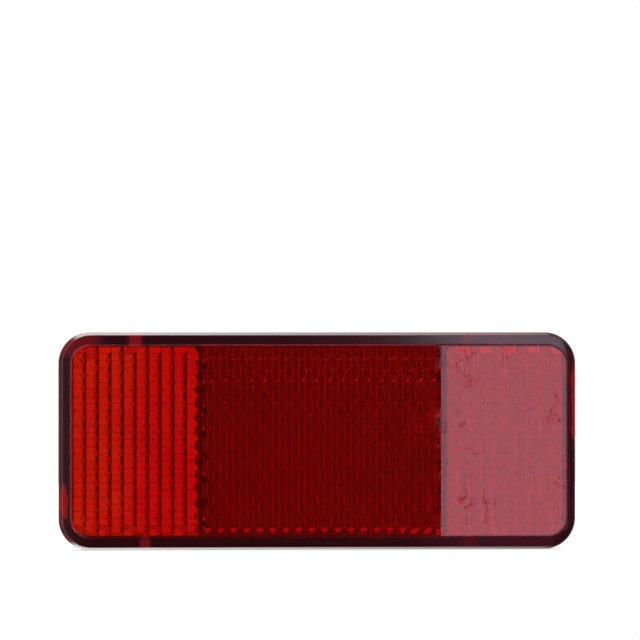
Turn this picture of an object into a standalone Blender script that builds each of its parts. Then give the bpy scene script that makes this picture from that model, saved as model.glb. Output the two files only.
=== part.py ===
"""Bicycle rear reflector: a red lens with cube-corner prisms on its back, welded to a hollow black
housing that holds an M5 bolt by its head, with a nut on the bolt's end.

Metres. X runs along the long side, +Z is up and the lens faces -Y. The origin is where the bolt's
axis leaves the flat rear face of the housing's cross, which is the plane y = 0.
"""

import math

import bmesh
import bpy
from mathutils import Matrix

# Clearances and laps
CLEARANCE = 0.0003  # between two pieces that meet
LAP = 0.0005  # how far a joined shape is sunk in, and how far a cutter runs past a face

# Lens, from its outline inwards
LENS_WIDTH = 0.1000
LENS_HEIGHT = 0.0418
LENS_CORNER = 0.0060
LENS_DRAFT = 0.0005  # how far the side leans in from the back to the front
LENS_EDGE = 0.0002  # fillet round the front
LENS_DEPTH = 0.0038  # front of the raised window to the back of the rim
RIM_WIDTH = 0.0022  # solid clear rim round the prisms, which is welded to the housing
BAND_WIDTH = 0.0016  # sunk border at the short sides
BAND_STEP = 0.0004  # how far the border lies behind the window
BAND_SLOPE = 0.0003
LONG_SIDE_EXTRA = 0.0006  # border, prisms and rear rim lie this much further in at the long sides
PLATE_THICKNESS = 0.0014

# Cube-corner prisms of the middle field, each cell a hexagon that shows three faces of a cube
MIDDLE_WIDTH = 0.0466
MIDDLE_SHIFT = 0.0007  # middle field off the middle of the lens
DIVIDER_WIDTH = 0.0005  # smooth rib between two fields, as high as the prisms
MIDDLE_CELL = 0.00252  # across flats
TIP_INDENT = 0.00115  # first tip from the left side of the field
TIP_DROP = 0.00115  # first row of tips from the top of the field
PRISM_BASE = 0.0002  # the prisms' valleys above the plate
RIB_LAP = 0.00003  # how far the ribs are sunk into the prisms beside them

# Canted prisms of the side fields: columns of roofs whose ridges climb towards the middle
ROOF_SLOPE = math.radians(15)
LEFT_ROOF = 0.0027  # from one ridge of a column to the next
LEFT_COLUMN = 0.00242  # from one column to the next
RIGHT_ROOF = 0.0027
RIGHT_COLUMN = 0.00228

# Housing shell
WALL = 0.0016
HOUSING_INSET = 0.00025  # housing behind the lens outline
HOUSING_DRAFT = 0.00015
RIM_EDGE = 0.0007
RIM_DROP = 0.0005  # rim crest below the cross
RIM_CREST = 0.0015
RIM_SLOPE = 0.0011
FLOOR_DEPTH = 0.0022  # sunk floor below the cross
PAD_WALL = 0.0016

# Raised cross on the back
STUD_DROP = 0.0094  # bolt axis below the top edge
BAR_HEIGHT = 0.0134
BAR_RISE = 0.0006  # middle of the bar above the middle of the body
BAR_LAP = 0.0011  # bar runs up the rim's slope
COLUMN_WIDTH = 0.0167
COLUMN_TOP_LAP = 0.0013  # column runs up the rim's slope at the top
COLUMN_LAP = 0.0006  # and less far at the bottom
CROSS_CORNER = 0.0006
CROSS_EDGE = 0.00025

# Sunk pockets and moulding marks in the cross
POCKET_DEPTH = 0.0011
POCKET_HEIGHT = 0.0068
POCKET_LENGTH = 0.0174
POCKET_PLACE = 0.0339  # middle of a pocket from the middle of the bar
POCKET_CORNER = 0.0008
POCKET_DRAFT = 0.0002
POCKET_WALL = 0.0013
ARROW_END = 0.0161  # blunt end of an arrow pocket from the middle
ARROW_SHOULDER = 0.0067
ARROW_TIP = 0.0009
ARROW_TIP_HEIGHT = 0.0008
MARK_PLACE = 0.0207
MARK_DIAMETER = 0.0039
MARK_DEPTH = 0.00025
PIP_DIAMETER = 0.0010
PIP_DEPTH = 0.0005
GATE_DROP = 0.0092  # moulding gate below the middle of the body
GATE_RING = 0.0046
GATE_RING_DEPTH = 0.0002
GATE_HOLE = 0.0024
GATE_HOLE_DEPTH = 0.0011
GATE_PIP = 0.0009

# M5 bolt and nut
BOLT_DIAMETER = 0.0048
BOLT_LENGTH = 0.0120  # under the head
BOLT_CHAMFER = 0.0008
HEAD_FLATS = 0.0080
HEAD_HEIGHT = 0.0035
HEAD_ROOM = 0.0005  # between the head and the deepest prism
COLLAR_WALL = 0.0012  # hexagonal wall that keeps the head from turning
COLLAR_HEIGHT = 0.0010
NUT_FLATS = 0.0080
NUT_THICKNESS = 0.0040
NUT_COUNTERSINK = 0.0002
NUT_OVERHANG = 0.0010  # nut's outer face past the end of the bolt
HEX_CHAMFER = 0.0005

# Smoothness
CORNER_STEPS = 8
FILLET_STEPS = 4
TURN_STEPS = 40

# Places along Y, counted forward from the face of the cross
MIDDLE_DEPTH = MIDDLE_CELL * 2 / math.sqrt(6)
LEFT_DEPTH = LEFT_COLUMN * math.tan(ROOF_SLOPE) + LEFT_ROOF / 2 / math.cos(ROOF_SLOPE)
RIGHT_DEPTH = RIGHT_COLUMN * math.tan(ROOF_SLOPE) + RIGHT_ROOF / 2 / math.cos(ROOF_SLOPE)
DEEPEST_PRISM = max(MIDDLE_DEPTH, LEFT_DEPTH, RIGHT_DEPTH)
HEAD_SEAT_Y = -PAD_WALL - CLEARANCE
HEAD_FRONT_Y = HEAD_SEAT_Y - HEAD_HEIGHT
VALLEY_Y = HEAD_FRONT_Y - HEAD_ROOM - DEEPEST_PRISM
PLATE_BACK_Y = VALLEY_Y - PRISM_BASE
WINDOW_Y = PLATE_BACK_Y - PLATE_THICKNESS
BAND_Y = WINDOW_Y + BAND_STEP
RIM_BACK_Y = WINDOW_Y + LENS_DEPTH
LAND_Y = RIM_BACK_Y + CLEARANCE
INSIDE_FLOOR_Y = -FLOOR_DEPTH - WALL
BOLT_END_Y = HEAD_SEAT_Y + BOLT_LENGTH
NUT_MIDDLE_Y = BOLT_END_Y + NUT_OVERHANG - NUT_THICKNESS / 2

# Places inwards from the lens outline
SIDE_INNER = HOUSING_INSET + WALL
CREST_START = HOUSING_INSET + HOUSING_DRAFT + RIM_EDGE
CREST_END = CREST_START + RIM_CREST
FLOOR_INSET = CREST_END + RIM_SLOPE

# Heights
BODY_Z = STUD_DROP - LENS_HEIGHT / 2
BAR_Z = BODY_Z + BAR_RISE


def clear_scene():
    for thing in list(bpy.data.objects):
        bpy.data.objects.remove(thing)


def collection(name, hidden=False):
    group = bpy.data.collections.new(name)
    group.hide_render = hidden
    bpy.context.scene.collection.children.link(group)
    return group


def place(name, mesh, group):
    """An object of this name in the group, from a bmesh."""
    bmesh.ops.recalc_face_normals(mesh, faces=mesh.faces)
    data = bpy.data.meshes.new(name)
    mesh.to_mesh(data)
    mesh.free()
    thing = bpy.data.objects.new(name, data)
    group.objects.link(thing)
    if group.hide_render:
        thing.hide_render = True
        thing.display_type = "WIRE"
    return thing


def rounded(width, height, corner, x=0.0, z=0.0):
    """Points round a rectangle with its corners as arcs, as (x, z)."""
    corner = min(corner, 0.49 * width, 0.49 * height)
    points = []
    for quarter in range(4):
        side_x = 1 if quarter in (0, 3) else -1
        side_z = 1 if quarter in (0, 1) else -1
        for step in range(CORNER_STEPS + 1):
            angle = math.radians(90) * (quarter + step / CORNER_STEPS)
            points.append(
                (
                    x + side_x * (width / 2 - corner) + corner * math.cos(angle),
                    z + side_z * (height / 2 - corner) + corner * math.sin(angle),
                )
            )
    return points


def body_ring(inset, y, extra=0.0):
    """The lens outline moved in by inset, and by extra more at its long sides."""
    width = LENS_WIDTH - 2 * inset
    height = LENS_HEIGHT - 2 * (inset + extra)
    corner = max(LENS_CORNER - inset - extra / 2, CROSS_CORNER)
    return [(px, y, pz) for px, pz in rounded(width, height, corner, z=BODY_Z)]


def loft(name, rings, group):
    """A closed body through rings of equally many points, with its first and last ring filled."""
    mesh = bmesh.new()
    loops = [[mesh.verts.new(point) for point in ring] for ring in rings]
    for near, far in zip(loops, loops[1:]):
        for here in range(len(near)):
            after = (here + 1) % len(near)
            mesh.faces.new((near[here], near[after], far[after], far[here]))
    mesh.faces.new(loops[0])
    mesh.faces.new(loops[-1])
    return place(name, mesh, group)


def slab(name, outline, y_from, y_to, group):
    """An outline of (x, z) points as a plate between two depths."""
    return loft(name, [[(px, y, pz) for px, pz in outline] for y in (y_from, y_to)], group)


def arc(inset, y, radius, turn):
    """(inset, depth) along a quarter circle in the body's section, about the point (inset, y)."""
    steps = [math.radians(90) * step / FILLET_STEPS for step in range(FILLET_STEPS + 1)]
    return [turn(inset, y, radius * math.cos(angle), radius * math.sin(angle)) for angle in steps]


def turned(name, profile, group):
    """A solid of revolution about +Y through the origin, from (radius, height) points, top first."""
    mesh = bmesh.new()
    points = [mesh.verts.new((radius, 0, height)) for radius, height in profile]
    for upper, lower in zip(points, points[1:]):
        mesh.edges.new((upper, lower))
    thing = place(name, mesh, group)
    thing.rotation_euler.x = math.radians(-90)
    screw = thing.modifiers.new("turn", "SCREW")
    screw.steps = TURN_STEPS
    screw.render_steps = TURN_STEPS
    screw.use_merge_vertices = True
    screw.merge_threshold = 1e-6
    return thing


def disc(name, diameter, y_from, y_to, group, x=0.0, z=0.0):
    half = (y_to - y_from) / 2
    thing = turned(name, [(0, half), (diameter / 2, half), (diameter / 2, -half), (0, -half)], group)
    thing.location = (x, (y_from + y_to) / 2, z)
    return thing


def hexagon(name, flats, thickness, group, flats_up=False):
    """A hexagonal prism about +Y, with two flats facing +-X, or +-Z."""
    mesh = bmesh.new()
    radius = flats / math.sqrt(3)
    bmesh.ops.create_cone(
        mesh, cap_ends=True, segments=6, radius1=radius, radius2=radius, depth=thickness
    )
    if flats_up:
        bmesh.ops.rotate(mesh, verts=mesh.verts, matrix=Matrix.Rotation(math.radians(30), 3, "Z"))
    thing = place(name, mesh, group)
    thing.rotation_euler.x = math.radians(-90)
    return thing


def chamfered(thing, flats, thickness, both_ends, cutters):
    """Takes a hexagon's corners off at 30 degrees, at its +Y end or at both."""
    face = flats / 2 - HEX_CHAMFER / 4
    wide = flats / math.sqrt(3) + LAP
    drop = (wide - face) * math.tan(math.radians(30))
    half = thickness / 2
    profile = [(0, half), (face, half), (wide, half - drop)]
    if both_ends:
        profile += [(wide, drop - half), (face, -half), (0, -half)]
    else:
        profile += [(wide, -half - LAP), (0, -half - LAP)]
    barrel = turned(f"{thing.name}_barrel", profile, cutters)
    boolean(thing, barrel, "INTERSECT")
    return barrel


def boolean(thing, other, operation):
    modifier = thing.modifiers.new(other.name, "BOOLEAN")
    modifier.operation = operation
    modifier.object = other
    modifier.solver = "EXACT"


def softened(thing, width):
    bevel = thing.modifiers.new("edge", "BEVEL")
    bevel.width = width
    bevel.segments = 2
    bevel.limit_method = "ANGLE"
    bevel.angle_limit = math.radians(60)


def finished(thing, colour, roughness, metallic=0.0, transmission=0.0):
    """Gives a piece its own material and smooth shading with sharp edges."""
    material = bpy.data.materials.new(thing.name)
    material.use_nodes = True
    shader = material.node_tree.nodes["Principled BSDF"]
    shader.inputs["Base Color"].default_value = (*colour, 1.0)
    shader.inputs["Roughness"].default_value = roughness
    shader.inputs["Metallic"].default_value = metallic
    shader.inputs["Transmission Weight"].default_value = transmission
    thing.data.materials.append(material)


def cube_surface(x_from, x_to):
    """Rows of cube corners over the middle field, as an open surface a little larger than it.

    Every cell is a hexagon with a tip at its middle. Its corners lie by turns at half the tip's
    height and at the valley, so that each tip, two half-high corners and the valley corner between
    them are one face of a cube. One face of each cell looks straight up.
    """
    field_top = BODY_Z + LENS_HEIGHT / 2 - RIM_WIDTH - LONG_SIDE_EXTRA
    row_pitch = MIDDLE_CELL * math.sqrt(3) / 2
    columns = math.ceil((x_to - x_from) / MIDDLE_CELL) + 1
    rows = math.ceil(LENS_HEIGHT / row_pitch)
    mesh = bmesh.new()
    for row in range(-1, rows):
        for column in range(-1, columns):
            middle_x = x_from + TIP_INDENT + MIDDLE_CELL * (column + row % 2 / 2)
            middle_z = field_top - TIP_DROP - row_pitch * row
            tip = mesh.verts.new((middle_x, VALLEY_Y + MIDDLE_DEPTH, middle_z))
            corners = []
            for corner in range(6):
                angle = math.radians(30 + 60 * corner)
                corners.append(
                    mesh.verts.new(
                        (
                            middle_x + MIDDLE_CELL / math.sqrt(3) * math.cos(angle),
                            VALLEY_Y + MIDDLE_DEPTH / 2 * ((corner + 1) % 2),
                            middle_z + MIDDLE_CELL / math.sqrt(3) * math.sin(angle),
                        )
                    )
                )
            for half_high in (0, 2, 4):
                valley = corners[half_high + 1]
                after = corners[(half_high + 2) % 6]
                mesh.faces.new((tip, corners[half_high], valley, after))
    return mesh


def roof_surface(inner_x, outer_x, roof, column):
    """Columns of roofs over a side field, from its inner edge outwards, as an open surface.

    Each column's ridges and valleys climb towards the inner edge, and every second column is half
    a roof higher up. Two neighbours are equally high at one place on each slope, and between
    those places kite-shaped walls across X close the steps.
    """
    outwards = math.copysign(1, outer_x - inner_x)
    columns = math.ceil(abs(outer_x - inner_x) / column)
    count = math.ceil(LENS_HEIGHT / 2 / roof)
    rise = column * math.tan(ROOF_SLOPE)
    peak = roof / 2 / math.cos(ROOF_SLOPE)
    meet = roof / 4 * (1 + rise / peak)  # from a column's ridge to where its neighbour is as high
    meet_y = peak * meet * 2 / roof

    def ridges(number):
        return [BODY_Z + roof * (step + number % 2 / 2) for step in range(-count, count + 1)]

    mesh = bmesh.new()

    def add_face(points):
        mesh.faces.new([mesh.verts.new((px, VALLEY_Y + y, pz)) for px, y, pz in points])

    for number in range(columns):
        high_x = inner_x + outwards * column * number
        low_x = high_x + outwards * column
        for ridge in ridges(number):
            for side in (-1, 1):
                valley = ridge + side * roof / 2
                add_face(
                    [
                        (high_x, rise + peak, ridge),
                        (high_x, meet_y, ridge + side * meet),
                        (high_x, rise, valley),
                        (low_x, 0.0, valley),
                        (low_x, meet_y, valley - side * meet),
                        (low_x, peak, ridge),
                    ]
                )
        if number == 0:
            continue
        own, other = ridges(number), ridges(number - 1)
        for ridge in own:
            if min(other) - roof < ridge < max(other) + roof:
                add_face(
                    [
                        (high_x, meet_y, ridge - meet),
                        (high_x, rise + peak, ridge),
                        (high_x, meet_y, ridge + meet),
                        (high_x, 0.0, ridge),
                    ]
                )
        for ridge in other:
            if min(own) - roof < ridge < max(own) + roof:
                low = roof / 2 - meet
                add_face(
                    [
                        (high_x, meet_y, ridge - low),
                        (high_x, peak, ridge),
                        (high_x, meet_y, ridge + low),
                        (high_x, rise, ridge),
                    ]
                )
    return mesh


def prism_block(name, mesh, window, cutters):
    """Closes a surface of prisms to a block with a flat front, and cuts it to the window."""
    bmesh.ops.remove_doubles(mesh, verts=mesh.verts, dist=LAP / 100)
    border = [edge for edge in mesh.edges if edge.is_boundary]
    grown = bmesh.ops.extrude_edge_only(mesh, edges=border)["geom"]
    for vertex in (part for part in grown if isinstance(part, bmesh.types.BMVert)):
        vertex.co.y = PLATE_BACK_Y - LAP
    bmesh.ops.edgeloop_fill(mesh, edges=[edge for edge in mesh.edges if edge.is_boundary])
    block = place(name, mesh, cutters)
    boolean(block, window, "INTERSECT")
    return block


def make_lens(parts, cutters):
    """One clear red moulding: raised window, sunk border, solid rim, and prisms on its back."""
    front_edge = LENS_DRAFT + LENS_EDGE
    fillet = arc(front_edge, BAND_Y + LENS_EDGE, LENS_EDGE, lambda i, y, c, s: (i - c, y - s))
    rings = [
        body_ring(RIM_WIDTH, PLATE_BACK_Y, LONG_SIDE_EXTRA),
        body_ring(RIM_WIDTH, RIM_BACK_Y, LONG_SIDE_EXTRA),
        body_ring(0.0, RIM_BACK_Y),
    ]
    rings += [body_ring(inset, y) for inset, y in fillet]
    rings.append(body_ring(BAND_WIDTH, BAND_Y, LONG_SIDE_EXTRA))
    rings.append(body_ring(BAND_WIDTH + BAND_SLOPE, WINDOW_Y, LONG_SIDE_EXTRA))
    lens = loft("lens", rings, parts)
    window = loft(
        "prism_window",
        [
            body_ring(RIM_WIDTH - LAP, PLATE_BACK_Y - 2 * LAP, LONG_SIDE_EXTRA),
            body_ring(RIM_WIDTH - LAP, 0.0, LONG_SIDE_EXTRA),
        ],
        cutters,
    )
    middle_from = MIDDLE_SHIFT - MIDDLE_WIDTH / 2
    middle_to = MIDDLE_SHIFT + MIDDLE_WIDTH / 2
    edge = LENS_WIDTH / 2
    left = roof_surface(middle_from - DIVIDER_WIDTH, -edge, LEFT_ROOF, LEFT_COLUMN)
    middle = cube_surface(middle_from, middle_to)
    right = roof_surface(middle_to + DIVIDER_WIDTH, edge, RIGHT_ROOF, RIGHT_COLUMN)
    middle_prisms = prism_block("middle_prisms", middle, window, cutters)
    field = bmesh.new()
    bmesh.ops.create_cube(field, size=1.0)
    bmesh.ops.scale(field, verts=field.verts, vec=(MIDDLE_WIDTH, LENS_DEPTH * 2, LENS_HEIGHT))
    limits = place("middle_limits", field, cutters)
    limits.location = (MIDDLE_SHIFT, PLATE_BACK_Y, BODY_Z)
    boolean(middle_prisms, limits, "INTERSECT")
    boolean(lens, prism_block("left_prisms", left, window, cutters), "UNION")
    boolean(lens, middle_prisms, "UNION")
    boolean(lens, prism_block("right_prisms", right, window, cutters), "UNION")
    reach_z = (LENS_HEIGHT - RIM_WIDTH) / 2
    for word, rib_x in (
        ("left", middle_from - DIVIDER_WIDTH / 2), ("right", middle_to + DIVIDER_WIDTH / 2)
    ):
        low_x = rib_x - DIVIDER_WIDTH / 2 - RIB_LAP
        high_x = rib_x + DIVIDER_WIDTH / 2 + RIB_LAP
        low_z = BODY_Z - reach_z
        high_z = BODY_Z + reach_z
        outline = [(low_x, low_z), (high_x, low_z), (high_x, high_z), (low_x, high_z)]
        rib = slab(f"{word}_rib", outline, PLATE_BACK_Y - LAP, VALLEY_Y + MIDDLE_DEPTH, cutters)
        boolean(lens, rib, "UNION")
    finished(lens, (0.55, 0.0, 0.005), 0.05, transmission=0.9)
    return lens


def make_shell(parts):
    """The housing's tray: land, drafted side, rounded rim and sunk rear floor."""
    side = HOUSING_INSET + HOUSING_DRAFT
    crest_y = -RIM_DROP
    fillet = arc(side + RIM_EDGE, crest_y - RIM_EDGE, RIM_EDGE, lambda i, y, c, s: (i - c, y + s))
    rings = [
        body_ring(SIDE_INNER, INSIDE_FLOOR_Y),
        body_ring(SIDE_INNER, LAND_Y),
        body_ring(HOUSING_INSET, LAND_Y),
    ]
    rings += [body_ring(inset, y) for inset, y in fillet]
    drop = FLOOR_DEPTH - RIM_DROP
    for step in range(2 * FILLET_STEPS + 1):
        # A soft S from the crest down to the floor
        share = step / (2 * FILLET_STEPS)
        sunk = (1 - math.cos(math.pi * share)) / 2
        rings.append(
            body_ring(CREST_END + RIM_SLOPE * share, crest_y - drop * sunk, LONG_SIDE_EXTRA * share)
        )
    return loft("housing", rings, parts)


def add_cross(housing, cutters):
    """The raised bar and column, with every edge softened."""
    sunk_y = -FLOOR_DEPTH - WALL / 2
    bar_length = LENS_WIDTH - 2 * FLOOR_INSET + 2 * BAR_LAP
    column_height = LENS_HEIGHT - 2 * (FLOOR_INSET + LONG_SIDE_EXTRA) + COLUMN_TOP_LAP + COLUMN_LAP
    column_z = BODY_Z + (COLUMN_TOP_LAP - COLUMN_LAP) / 2
    bar = slab("bar", rounded(bar_length, BAR_HEIGHT, CROSS_CORNER, z=BAR_Z), sunk_y, 0, cutters)
    column = slab(
        "column", rounded(COLUMN_WIDTH, column_height, CROSS_CORNER, z=column_z), sunk_y, 0, cutters
    )
    for raised in (bar, column):
        softened(raised, CROSS_EDGE)
        boolean(housing, raised, "UNION")


def drafted_cut(housing, name, outline_at, depth, cutters):
    """A sunk shape in the cross whose outline, given by how far it is grown, narrows with depth."""
    levels = [(-POCKET_DRAFT, -depth), (0.0, -POCKET_DRAFT), (POCKET_DRAFT, 0.0), (POCKET_DRAFT, LAP)]
    rings = [[(px, y, pz) for px, pz in outline_at(grown)] for grown, y in levels]
    boolean(housing, loft(name, rings, cutters), "DIFFERENCE")


def arrow(side, grown):
    """Outline of an arrow pocket that points at the middle of the bar."""
    tall = POCKET_HEIGHT / 2 + grown
    tip = ARROW_TIP_HEIGHT / 2 + grown
    end = ARROW_END + grown
    near = ARROW_TIP - grown
    corner = POCKET_CORNER
    points = [(near, -tip), (ARROW_SHOULDER, -tall)]
    for quarter, corner_z in ((-90, corner - tall), (0, tall - corner)):
        for step in range(FILLET_STEPS + 1):
            angle = math.radians(quarter + 90 * step / FILLET_STEPS)
            points.append(
                (end - corner + corner * math.cos(angle), corner_z + corner * math.sin(angle))
            )
    points += [(ARROW_SHOULDER, tall), (near, tip)]
    return [(side * px, BAR_Z + pz) for px, pz in points]


def cut_pockets(housing, cutters):
    """Two long pockets, two arrow pockets, two round marks, the middle pip and the gate."""
    for word, side in (("left", -1), ("right", 1)):
        drafted_cut(
            housing,
            f"{word}_pocket",
            lambda grown: rounded(
                POCKET_LENGTH + 2 * grown,
                POCKET_HEIGHT + 2 * grown,
                POCKET_CORNER + grown,
                side * POCKET_PLACE,
                BAR_Z,
            ),
            POCKET_DEPTH,
            cutters,
        )
        drafted_cut(
            housing, f"{word}_arrow", lambda grown: arrow(side, grown), POCKET_DEPTH, cutters
        )
        mark = disc(
            f"{word}_mark", MARK_DIAMETER, -MARK_DEPTH, LAP, cutters, side * MARK_PLACE, BAR_Z
        )
        boolean(housing, mark, "DIFFERENCE")
    pip = disc("middle_pip", PIP_DIAMETER, -PIP_DEPTH, LAP, cutters, z=BAR_Z)
    boolean(housing, pip, "DIFFERENCE")
    gate = turned(
        "gate_mark",
        [
            (0, LAP),
            (GATE_RING / 2, LAP),
            (GATE_RING / 2, -GATE_RING_DEPTH),
            (GATE_HOLE / 2, -GATE_RING_DEPTH),
            (GATE_HOLE / 2, -GATE_HOLE_DEPTH),
            (GATE_PIP / 2, -GATE_HOLE_DEPTH),
            (0, -GATE_HOLE_DEPTH / 2),
        ],
        cutters,
    )
    gate.location.z = BODY_Z - GATE_DROP
    boolean(housing, gate, "DIFFERENCE")


def hollow_cross(housing, cutters):
    """Opens the back of the bar and column to the inside, so that the walls stay even."""
    start_y = INSIDE_FLOOR_Y - LAP
    bar_hollow = slab(
        "bar_hollow",
        rounded(
            2 * (POCKET_PLACE + POCKET_LENGTH / 2 + POCKET_WALL),
            POCKET_HEIGHT + 2 * WALL,
            POCKET_CORNER,
            z=BAR_Z,
        ),
        start_y,
        -POCKET_DEPTH - WALL,
        cutters,
    )
    boolean(housing, bar_hollow, "DIFFERENCE")
    mark_from = ARROW_END + POCKET_WALL
    mark_to = POCKET_PLACE - POCKET_LENGTH / 2 - POCKET_WALL
    for word, side in (("left", -1), ("right", 1)):
        mark_hollow = slab(
            f"{word}_mark_hollow",
            rounded(
                mark_to - mark_from,
                POCKET_HEIGHT + 2 * POCKET_WALL,
                POCKET_CORNER,
                side * (mark_from + mark_to) / 2,
                BAR_Z,
            ),
            start_y,
            -PAD_WALL,
            cutters,
        )
        boolean(housing, mark_hollow, "DIFFERENCE")
    low_z = BODY_Z - LENS_HEIGHT / 2 + FLOOR_INSET + LONG_SIDE_EXTRA - COLUMN_LAP + WALL
    high_z = BAR_Z - POCKET_HEIGHT / 2 - POCKET_WALL
    column_hollow = slab(
        "column_hollow",
        rounded(
            COLUMN_WIDTH - 2 * WALL, high_z - low_z, POCKET_CORNER, z=(high_z + low_z) / 2
        ),
        start_y,
        -PAD_WALL,
        cutters,
    )
    boolean(housing, column_hollow, "DIFFERENCE")


def hold_bolt(housing, cutters):
    """A hexagonal collar and recess round the bolt's head, and the hole for its shank."""
    socket_flats = HEAD_FLATS + 2 * CLEARANCE
    collar_from = INSIDE_FLOOR_Y - COLLAR_HEIGHT
    collar_to = -FLOOR_DEPTH - WALL / 2
    collar = hexagon(
        "collar", socket_flats + 2 * COLLAR_WALL, collar_to - collar_from, cutters, flats_up=True
    )
    collar.location.y = (collar_from + collar_to) / 2
    boolean(housing, collar, "UNION")
    recess_from = collar_from - LAP
    recess = hexagon("head_recess", socket_flats, -PAD_WALL - recess_from, cutters, flats_up=True)
    recess.location.y = (recess_from - PAD_WALL) / 2
    boolean(housing, recess, "DIFFERENCE")
    hole = disc("bolt_hole", BOLT_DIAMETER + 2 * CLEARANCE, -PAD_WALL - LAP, LAP, cutters)
    boolean(housing, hole, "DIFFERENCE")


def make_housing(parts, cutters):
    housing = make_shell(parts)
    add_cross(housing, cutters)
    cut_pockets(housing, cutters)
    hollow_cross(housing, cutters)
    hold_bolt(housing, cutters)
    finished(housing, (0.02, 0.021, 0.024), 0.55)
    return housing


def make_bolt(parts, cutters):
    """The shank, with its hexagonal head shut inside the housing."""
    radius = BOLT_DIAMETER / 2
    bolt = turned(
        "bolt",
        [
            (0, BOLT_LENGTH),
            (radius - BOLT_CHAMFER, BOLT_LENGTH),
            (radius, BOLT_LENGTH - BOLT_CHAMFER),
            (radius, -LAP),
            (0, -LAP),
        ],
        parts,
    )
    bolt.location.y = HEAD_SEAT_Y
    head = hexagon("bolt_head", HEAD_FLATS, HEAD_HEIGHT, cutters, flats_up=True)
    head.location.y = (HEAD_SEAT_Y + HEAD_FRONT_Y) / 2
    barrel = chamfered(head, HEAD_FLATS, HEAD_HEIGHT, False, cutters)
    barrel.rotation_euler.x = math.radians(90)
    barrel.location.y = head.location.y
    boolean(bolt, head, "UNION")
    finished(bolt, (0.72, 0.62, 0.32), 0.3, metallic=1.0)
    return bolt


def make_nut(parts, cutters):
    """The nut, which runs along the bolt. Its origin is on the bolt's axis."""
    nut = hexagon("nut", NUT_FLATS, NUT_THICKNESS, parts)
    nut.location.y = NUT_MIDDLE_Y
    barrel = chamfered(nut, NUT_FLATS, NUT_THICKNESS, True, cutters)
    bore = BOLT_DIAMETER / 2 + CLEARANCE
    half = NUT_THICKNESS / 2
    wide = bore + NUT_COUNTERSINK + LAP
    hole = turned(
        "nut_bore",
        [
            (0, half + LAP),
            (wide, half + LAP),
            (bore, half - NUT_COUNTERSINK),
            (bore, NUT_COUNTERSINK - half),
            (wide, -half - LAP),
            (0, -half - LAP),
        ],
        cutters,
    )
    boolean(nut, hole, "DIFFERENCE")
    for cutter in (barrel, hole):
        cutter.location.y = NUT_MIDDLE_Y
    finished(nut, (0.75, 0.76, 0.78), 0.25, metallic=1.0)
    return nut


def main():
    clear_scene()
    parts = collection("bicycle_rear_reflector")
    cutters = collection("cutters", hidden=True)
    make_lens(parts, cutters)
    make_housing(parts, cutters)
    make_bolt(parts, cutters)
    make_nut(parts, cutters)


main()
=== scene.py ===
import math

import bmesh
import bpy
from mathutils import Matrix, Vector, noise


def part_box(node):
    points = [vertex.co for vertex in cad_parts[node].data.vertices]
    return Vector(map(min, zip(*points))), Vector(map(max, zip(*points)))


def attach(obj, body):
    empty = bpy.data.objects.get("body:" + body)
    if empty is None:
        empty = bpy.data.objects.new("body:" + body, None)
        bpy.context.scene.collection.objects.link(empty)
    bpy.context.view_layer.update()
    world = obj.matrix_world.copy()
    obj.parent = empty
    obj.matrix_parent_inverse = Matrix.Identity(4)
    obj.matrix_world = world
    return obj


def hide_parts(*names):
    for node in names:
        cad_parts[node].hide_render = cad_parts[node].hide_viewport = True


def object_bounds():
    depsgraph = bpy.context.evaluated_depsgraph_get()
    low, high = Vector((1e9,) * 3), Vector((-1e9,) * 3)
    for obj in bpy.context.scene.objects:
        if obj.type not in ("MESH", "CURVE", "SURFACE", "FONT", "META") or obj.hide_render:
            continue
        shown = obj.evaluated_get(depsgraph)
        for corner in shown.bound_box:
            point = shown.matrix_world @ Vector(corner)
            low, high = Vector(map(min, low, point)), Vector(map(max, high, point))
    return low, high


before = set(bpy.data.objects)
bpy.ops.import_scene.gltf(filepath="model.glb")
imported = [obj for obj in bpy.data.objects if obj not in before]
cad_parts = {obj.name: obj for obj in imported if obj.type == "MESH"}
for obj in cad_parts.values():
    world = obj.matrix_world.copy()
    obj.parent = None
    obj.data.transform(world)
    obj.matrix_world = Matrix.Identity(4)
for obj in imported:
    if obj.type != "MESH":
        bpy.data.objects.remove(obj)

# The object from the frame. X runs along its long side, the lens faces -Y and the stud points to +Y.
CAD_LOW, CAD_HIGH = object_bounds()
LENS_LOW, LENS_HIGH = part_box("lens")
BOLT_LOW, BOLT_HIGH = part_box("bolt")
NUT_LOW, NUT_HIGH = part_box("nut")
WIDTH = LENS_HIGH.x - LENS_LOW.x
HEIGHT = LENS_HIGH.z - LENS_LOW.z
BODY_Z = (LENS_HIGH.z + LENS_LOW.z) / 2
WINDOW_Y = LENS_LOW.y
MM = 0.001

# Lens, from its outline inwards
CORNER = 6.0 * MM
LENS_DRAFT = 0.5 * MM  # how far the side leans in from the back to the front
LENS_EDGE = 0.2 * MM  # rounding of the front edge
LENS_DEPTH = 3.8 * MM
WELD_BEAD = 0.27 * MM  # fills the gap that the solids keep at the weld
RIM_WIDTH = 2.2 * MM  # solid rim round the prisms
RIM_EXTRA = 0.6 * MM  # how much wider the rim is along the long sides
BAND_WIDTH = 1.9 * MM  # sunk border in front
BAND_EXTRA = 0.35 * MM  # how much wider the border is along the long sides
BAND_STEP = 0.4 * MM  # how far the border lies behind the window
BAND_SLOPE = 0.3 * MM  # width of the slope between the two
BAND_TILT = 0.075 * MM  # how far the border falls off towards its outer edge
WINDOW_EDGE = 0.12 * MM  # rounding of the raised window
WINDOW_STRIP = 0.1 * WINDOW_EDGE  # flat strip inside the rounding, for its shading
BAND_Y = WINDOW_Y + BAND_STEP
RIM_BACK_Y = WINDOW_Y + LENS_DEPTH + WELD_BEAD

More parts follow.
